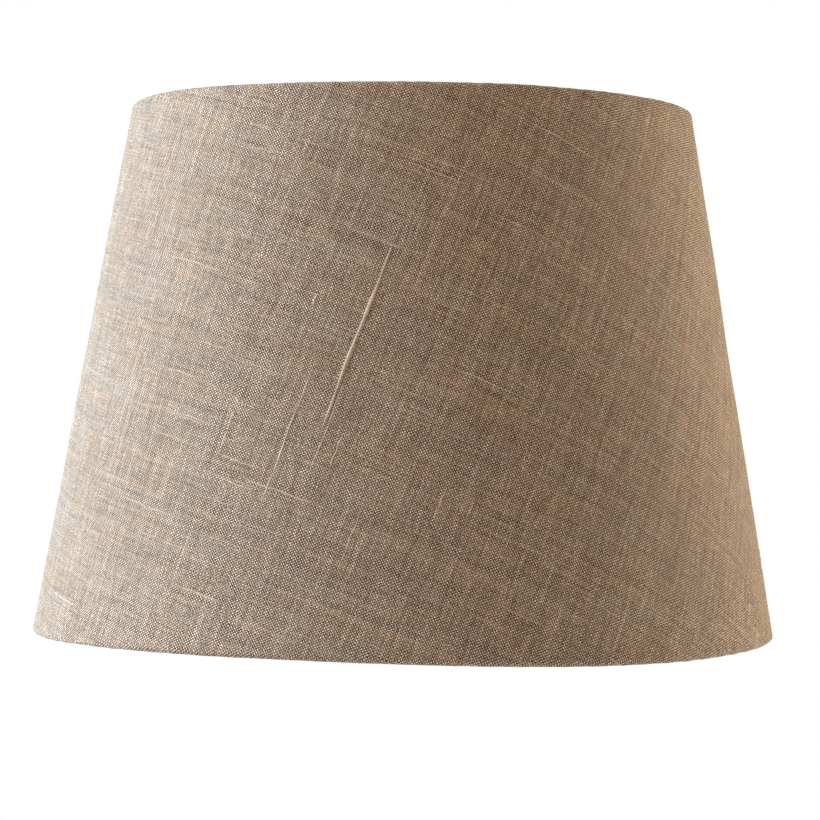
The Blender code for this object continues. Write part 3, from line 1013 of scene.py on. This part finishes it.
PIVOT_HOLE = 0.0046
HOOP_SHEET = 0.0015
HOOP_FILLET = 0.0005


def build_hoop(material):
    low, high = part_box("gimbal_hoop")
    outside = high.x
    section = round_section(outside - HOOP_SHEET, outside, low.z, high.z, HOOP_FILLET)
    obj = lathe("hoop_band", section, material)
    bore(obj, PIVOT_HOLE / 2, 4 * outside)
    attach(obj, "shade")
    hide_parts("gimbal_hoop")
    return obj


# ---------------------------------------------------------------- fitter, pivots and reducer

HOLDER_HOLE = 0.0420
FITTER_SHEET = 0.0012
EAR_WIDTH = 0.0110
EAR_SETBACK = 0.0010
EAR_BEND = 0.0008
BEND_STEPS = 6
EAR_STEP = 8  # degrees between the rows of the ear's round end
LAND_EDGE = 0.0241
LAND_STEP = 0.0004
FITTER_EDGE = 0.00018
FITTER_CREASE = math.radians(50)


def build_fitter(material):
    """Stamped ring with a set-down land and two ears, drawn as a top face and thickened."""
    low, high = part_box("fitter_ring")
    radius = high.x
    top = low.z + LAND_STEP + FITTER_SHEET
    drop = pivot_height() - top
    sheet = bmesh.new()
    rims = []
    section = [
        (HOLDER_HOLE / 2, -LAND_STEP),
        (LAND_EDGE, -LAND_STEP),
        (LAND_EDGE + LAND_STEP, 0),
        (radius, 0),
    ]
    for out, height in section:
        turns = np.arange(TURN_STEPS) * math.tau / TURN_STEPS
        rims.append([
            sheet.verts.new((out * math.cos(t), out * math.sin(t), height)) for t in turns
        ])
    for inner, outer in zip(rims, rims[1:], strict=False):
        for i in range(TURN_STEPS):
            j = (i + 1) % TURN_STEPS
            sheet.faces.new((inner[i], outer[i], outer[j], inner[j]))
    ear_inside = radius + EAR_SETBACK
    rows = []
    for i in range(1, BEND_STEPS + 1):
        turn = math.pi / 2 * i / BEND_STEPS
        out = ear_inside - EAR_BEND * (1 - math.sin(turn))
        rows.append((out, EAR_BEND * (1 - math.cos(turn)), EAR_WIDTH / 2))
    for degrees in range(0, 90, EAR_STEP):
        turn = math.radians(degrees)
        height = drop + EAR_WIDTH / 2 * math.sin(turn)
        rows.append((ear_inside, height, EAR_WIDTH / 2 * math.cos(turn)))
    reach = round(math.asin(EAR_WIDTH / 2 / radius) / (math.tau / TURN_STEPS))
    for side, middle in ((1, TURN_STEPS // 4), (-1, 3 * TURN_STEPS // 4)):
        row = [rims[-1][(middle - side * k) % TURN_STEPS] for k in range(-reach, reach + 1)]
        for out, height, half_width in rows:
            new = [
                sheet.verts.new((half_width * (k - reach) / reach, side * out, height))
                for k in range(len(row))
            ]
            for k in range(len(row) - 1):
                face = (row[k], new[k], new[k + 1], row[k + 1])
                sheet.faces.new(face if side < 0 else face[::-1])
            row = new
    mesh = bpy.data.meshes.new("fitter_plate")
    sheet.to_mesh(mesh)
    sheet.free()
    mesh.transform(Matrix.Translation((0, 0, top)))
    obj = add_object("fitter_plate", mesh, material)
    thick = obj.modifiers.new("Sheet", "SOLIDIFY")
    thick.thickness = FITTER_SHEET
    thick.offset = -1
    thick.use_even_offset = True
    edge = obj.modifiers.new("Edge", "BEVEL")
    edge.width = FITTER_EDGE
    edge.segments = 2
    edge.limit_method = "ANGLE"
    edge.angle_limit = FITTER_CREASE
    bpy.context.view_layer.update()
    apply_modifiers(obj)
    bore(obj, PIVOT_HOLE / 2, 4 * radius)
    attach(obj, "fitter")
    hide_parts("fitter_ring")
    return obj


RIVET_SHANK = 0.0040
RIVET_HEAD = 0.0070
RIVET_PLAY = 0.00005
RIVET_HEAD_EDGE = 0.0003
DOME_STEPS = 8
SMALL_STEPS = 64  # for turned pieces as small as a rivet
AXIS = 0.00001  # as near to the axis as a section comes


def build_rivet(number, side, material):
    """A domed head outside the hoop, a shank, and a tail with a soft edge inside the ear."""
    low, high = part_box(f"pivot_rivet_{number}")
    near, far = sorted((abs(low.y), abs(high.y)))
    shank, head = RIVET_SHANK / 2, RIVET_HEAD / 2
    seat_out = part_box("gimbal_hoop")[1].y + RIVET_PLAY
    seat_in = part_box("fitter_ring")[1].y - FITTER_SHEET - RIVET_PLAY
    section = [(AXIS, near), (head * 0.72, near), (head * 0.93, near + 0.00025)]
    section += [(head, near + 0.0007), (head, seat_in), (shank, seat_in), (shank, seat_out)]
    section += [(head, seat_out)]
    base = seat_out + RIVET_HEAD_EDGE
    for i in range(DOME_STEPS + 1):
        turn = math.pi / 2 * i / DOME_STEPS
        section.append((max(head * math.cos(turn), AXIS), base + (far - base) * math.sin(turn)))
    place = (0, 0, pivot_height())
    obj = lathe(f"rivet_{number}", section, material, SMALL_STEPS, place, (0, side, 0))
    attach(obj, "fitter")
    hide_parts(f"pivot_rivet_{number}")
    return obj


WASHER_SQUEEZE = 0.0002  # closes the CAD model's gap on either side
WASHER_FILLET = 0.0002


def build_washer(number, side, material):
    low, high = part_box(f"friction_washer_{number}")
    near, far = sorted((abs(low.y), abs(high.y)))
    near, far = near - WASHER_SQUEEZE, far + WASHER_SQUEEZE
    section = round_section(PIVOT_HOLE / 2, high.x, near, far, WASHER_FILLET)
    place = (0, 0, pivot_height())
    obj = lathe(f"washer_{number}", section, material, SMALL_STEPS, place, (0, side, 0))
    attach(obj, "fitter")
    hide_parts(f"friction_washer_{number}")
    return obj


REDUCER_HOLE = 0.01425
REDUCER_FLANGE = 0.0016
BEAD_HEIGHT = 0.0003


def build_reducer(material):
    """Moulded ring with a soft-edged flange, a plug and a stiffening bead round its hole."""
    low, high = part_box("reducer_ring")
    flange = high.x
    plug = HOLDER_HOLE / 2 - GAP
    hole = REDUCER_HOLE
    seat = high.z - REDUCER_FLANGE
    section = [
        (flange - 0.0004, high.z), (hole + 0.0030, high.z - 0.0001),
        (hole + 0.0022, high.z + BEAD_HEIGHT), (hole + 0.0006, high.z + BEAD_HEIGHT),
        (hole, high.z - 0.0003), (hole, low.z + 0.0004), (hole + 0.0004, low.z),
        (plug - 0.0006, low.z), (plug, low.z + 0.0006), (plug, seat),
        (flange - 0.0002, seat), (flange, seat + 0.0002), (flange, high.z - 0.0004),
        (flange - 0.0001, high.z - 0.0001),
    ]
    obj = lathe("reducer", section, material)
    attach(obj, "reducer")
    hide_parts("reducer_ring")
    return obj


# ---------------------------------------------------------------- camera, light and floor

# Fitted to the shade's outline: a level camera in front, a little below the shade's middle.
CAMERA_DISTANCE = 1.409
CAMERA_HEIGHT = 0.1138
LENS = 119.2
SENSOR = 36.0
ROLL = math.radians(1.0)
AIM_SHIFT = (0.0016, 0.0015)  # right and down, at the shade's axis

FLOOR_DROP = 0.28
FLOOR_RADIUS = 1.15
FLOOR_PAINT = (0.86, 0.86, 0.86, 1.0)
COOL = (0.85, 0.93, 1.0)
WARM = (1.0, 0.81, 0.61)
AMBER = (1.0, 0.73, 0.52)
LIGHTS = [
    # name, angle from the front in degrees, height, distance, size, power, colour
    ("left_main", -100, 0.40, 1.6, 0.6, 28.5, COOL),
    ("left_far", -120, 0.25, 1.6, 0.6, 8.2, COOL),
    ("left_high", -80, 1.0, 1.5, 0.6, 18.6, COOL),
    ("right_main", 125, 0.25, 1.6, 1.0, 23.9, WARM),
    ("right_near", 105, 0.25, 1.6, 1.0, 7.8, WARM),
    ("top_front", 0, 1.4, 1.4, 1.0, 15.2, AMBER),
]
AMBIENT = (0.012, 0.012, 0.012)


def build_camera():
    data = bpy.data.cameras.new("camera")
    data.lens = LENS
    data.sensor_width = SENSOR
    camera = bpy.data.objects.new("camera", data)
    bpy.context.scene.collection.objects.link(camera)
    camera.location = (0, -CAMERA_DISTANCE, CAMERA_HEIGHT)
    target = Vector((AIM_SHIFT[0], 0, CAMERA_HEIGHT + AIM_SHIFT[1]))
    look = (target - camera.location).to_track_quat("-Z", "Y")
    camera.rotation_euler = (look.to_matrix() @ Matrix.Rotation(ROLL, 3, "Z")).to_euler()
    bpy.context.scene.camera = camera


def build_lights():
    for name, degrees, height, distance, size, power, color in LIGHTS:
        data = bpy.data.lights.new(name, "AREA")
        data.shape = "RECTANGLE"
        data.size = size
        data.size_y = size
        data.energy = power
        data.color = color
        light = bpy.data.objects.new(name, data)
        turn = math.radians(degrees)
        light.location = (distance * math.sin(turn), -distance * math.cos(turn), height)
        aim = Vector((0, 0, SHADE_HEIGHT / 2)) - light.location
        light.rotation_euler = aim.to_track_quat("-Z", "Y").to_euler()
        bpy.context.scene.collection.objects.link(light)


def build_world():
    """A white backdrop for the camera, and a dim even fill for the light."""
    world = bpy.data.worlds.new("studio")
    bpy.context.scene.world = world
    world.use_nodes = True
    tree = world.node_tree
    tree.nodes.clear()
    out = tree.nodes.new("ShaderNodeOutputWorld")
    mix = tree.nodes.new("ShaderNodeMixShader")
    path = tree.nodes.new("ShaderNodeLightPath")
    fill = tree.nodes.new("ShaderNodeBackground")
    fill.inputs["Color"].default_value = (*AMBIENT, 1.0)
    back = tree.nodes.new("ShaderNodeBackground")
    back.inputs["Color"].default_value = (1.0, 1.0, 1.0, 1.0)
    tree.links.new(path.outputs["Is Camera Ray"], mix.inputs[0])
    tree.links.new(fill.outputs[0], mix.inputs[1])
    tree.links.new(back.outputs[0], mix.inputs[2])
    tree.links.new(mix.outputs[0], out.inputs["Surface"])


def build_floor():
    """A pale round floor below the shade, as far down as a table under its lamp."""
    bpy.ops.mesh.primitive_circle_add(
        vertices=128, radius=FLOOR_RADIUS, fill_type="NGON", location=(0, 0, -FLOOR_DROP)
    )
    floor = bpy.context.object
    floor.name = "floor"
    graph = Graph("pale_floor")
    place = graph.node("ShaderNodeTexCoord").outputs["Object"]
    length = graph.node("ShaderNodeVectorMath", {0: place}, operation="LENGTH").outputs["Value"]
    fade = graph.ramp(length, 0.45 * FLOOR_RADIUS, 0.98 * FLOOR_RADIUS, 1.0, 0.0)
    graph.feed(graph.shader.inputs["Alpha"], fade)
    floor.data.materials.append(graph.finish(FLOOR_PAINT, None, 0.8))


# ---------------------------------------------------------------- the scene


def build():
    bpy.context.scene.view_settings.view_transform = "Standard"
    bpy.context.scene.cycles.denoising_prefilter = "NONE"  # the weave is as fine as noise
    build_camera()
    linen, slub = linen_material(), slub_material()
    powder, zinc = powder_material(), zinc_material()
    cloth = build_cloth(linen)
    slubs = build_slubs(slub)
    fibres = build_fibres(slub)
    liner = build_liner(liner_material())
    rings = [
        build_ring("top_wire", "top_ring", TOP_RING, powder),
        build_ring("bottom_wire", "bottom_ring", BOTTOM_RING, powder),
    ]
    for number, angle in enumerate(ARM_ANGLES, 1):
        build_arm(number, angle, powder)
    build_hoop(powder)
    build_fitter(zinc)
    for number, side in ((1, -1), (2, 1)):
        build_rivet(number, side, zinc)
        build_washer(number, side, fibre_material())
    build_reducer(plastic_material())
    build_lights()
    build_world()
    build_floor()


build()
bpy.context.view_layer.update()
